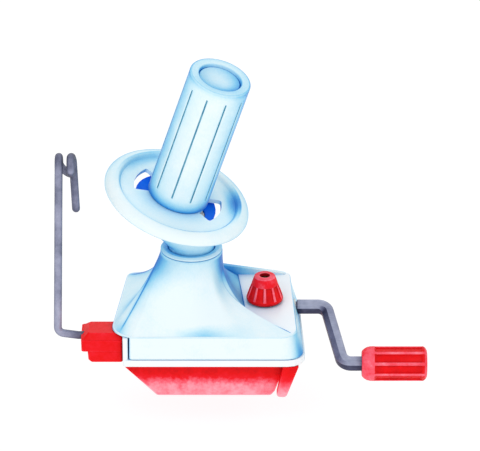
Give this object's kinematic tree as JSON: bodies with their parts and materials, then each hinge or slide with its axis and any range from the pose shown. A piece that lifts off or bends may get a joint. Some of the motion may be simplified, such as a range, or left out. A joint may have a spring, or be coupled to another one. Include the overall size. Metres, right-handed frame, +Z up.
{
  "type": "yarn ball winder",
  "caption": "Hand-cranked yarn ball winder: tilted spool on a geared rotor, bent crank with ribbed grip, wire yarn guide with eye, and a screw clamp under the base.",
  "frame": {"origin": "on the vertical axis of the rotor, on the jaw's flat underside, which is the plane the winder stands on", "axes": "+Z up along the rotor axis, +X toward the crank end, -Y toward the long front side of the housing"},
  "size_m": [0.2501, 0.1022, 0.2282],
  "materials": {
    "ice_blue_plastic": "smooth satin moulding",
    "white_plastic": "smooth satin moulding",
    "royal_blue_plastic": "smooth satin moulding",
    "red_plastic": "smooth satin moulding",
    "white_nylon": "natural moulded nylon",
    "bright_steel": "bright zinc",
    "dark_steel_wire": "dark blue-grey lacquer",
    "brass": "machined",
    "black_rubber": "matte"
  },
  "bodies": {
    "base": {"base_plate": "white_plastic", "housing_cover": "ice_blue_plastic", "collar_bush": "ice_blue_plastic", "center_post": "bright_steel", "sun_gear": "white_nylon", "layshaft_pin": "bright_steel", "crank_bush": "white_nylon", "guide_arm_holder": "red_plastic", "clamp_leg_front": "red_plastic", "clamp_leg_back": "red_plastic", "cover_screw_1": "bright_steel", "cover_screw_2": "bright_steel", "cover_screw_3": "bright_steel", "cover_screw_4": "bright_steel"},
    "crank": {"crank_arm": "bright_steel", "crank_bevel_gear": "brass", "crank_stop_ring": "bright_steel"},
    "grip": {"crank_grip": "red_plastic", "grip_end_cap": "red_plastic"},
    "layshaft": {"layshaft_spur_gear": "white_nylon", "layshaft_bevel_gear": "brass"},
    "rotor": {"rotor_head": "ice_blue_plastic", "rotor_plate": "royal_blue_plastic", "rotor_tube": "bright_steel", "rotor_pinion": "white_nylon", "spool_spindle": "bright_steel"},
    "spool": {"spool_core": "ice_blue_plastic", "spool_flange": "ice_blue_plastic", "spool_end_plug": "ice_blue_plastic", "spool_upper_bush": "white_nylon", "spool_lower_bush": "white_nylon", "planet_gear": "white_nylon"},
    "clamp_screw": {"clamp_knob": "red_plastic", "knob_thread_sleeve": "brass"},
    "jaw": {"clamp_jaw": "red_plastic", "jaw_pad": "black_rubber", "clamp_bolt": "bright_steel"},
    "yarn_guide": {"guide_arm": "dark_steel_wire"}
  },
  "joints": [
    {"name": "crank_turn", "type": "hinge", "parent": "base", "child": "crank", "pos_m": [0.074, 0.018, 0.0385], "axis": [1, 0, 0], "continuous": true},
    {"name": "grip_spin", "type": "hinge", "parent": "crank", "child": "grip", "pos_m": [0.1142, -0.02799, 0.01888], "axis": [1, 0, 0], "continuous": true},
    {"name": "layshaft_turn", "type": "hinge", "parent": "base", "child": "layshaft", "pos_m": [0.02248, 0.018, 0.0263], "axis": [0, 0, 1], "continuous": true},
    {"name": "rotor_turn", "type": "hinge", "parent": "base", "child": "rotor", "pos_m": [0, 0, 0.0263], "axis": [0, 0, 1], "continuous": true},
    {"name": "spool_spin", "type": "hinge", "parent": "rotor", "child": "spool", "pos_m": [0, 0, 0.1573], "axis": [0.291, -0.1797, 0.9397], "continuous": true},
    {"name": "clamp_knob_turn", "type": "hinge", "parent": "base", "child": "clamp_screw", "pos_m": [0.0492, 0.005, 0.0506], "axis": [0, 0, 1], "range_deg": [-288.5, 2880.5]},
    {"name": "jaw_travel", "type": "slide", "parent": "base", "child": "jaw", "axis": [0, 0, -1], "range_m": [-0.0024, 0.024]},
    {"name": "guide_arm_swing", "type": "hinge", "parent": "base", "child": "yarn_guide", "pos_m": [-0.06, -0.029, 0.0409], "axis": [1, 0, 0], "range_deg": [-90, 90]}
  ],
  "couplings": [
    {"joint": "layshaft_turn", "follows": "crank_turn", "ratio": -1},
    {"joint": "rotor_turn", "follows": "crank_turn", "ratio": 3},
    {"joint": "spool_spin", "follows": "crank_turn", "ratio": 3.4615},
    {"joint": "clamp_knob_turn", "follows": "jaw_travel", "rad_per_m": 2094.4}
  ]
}
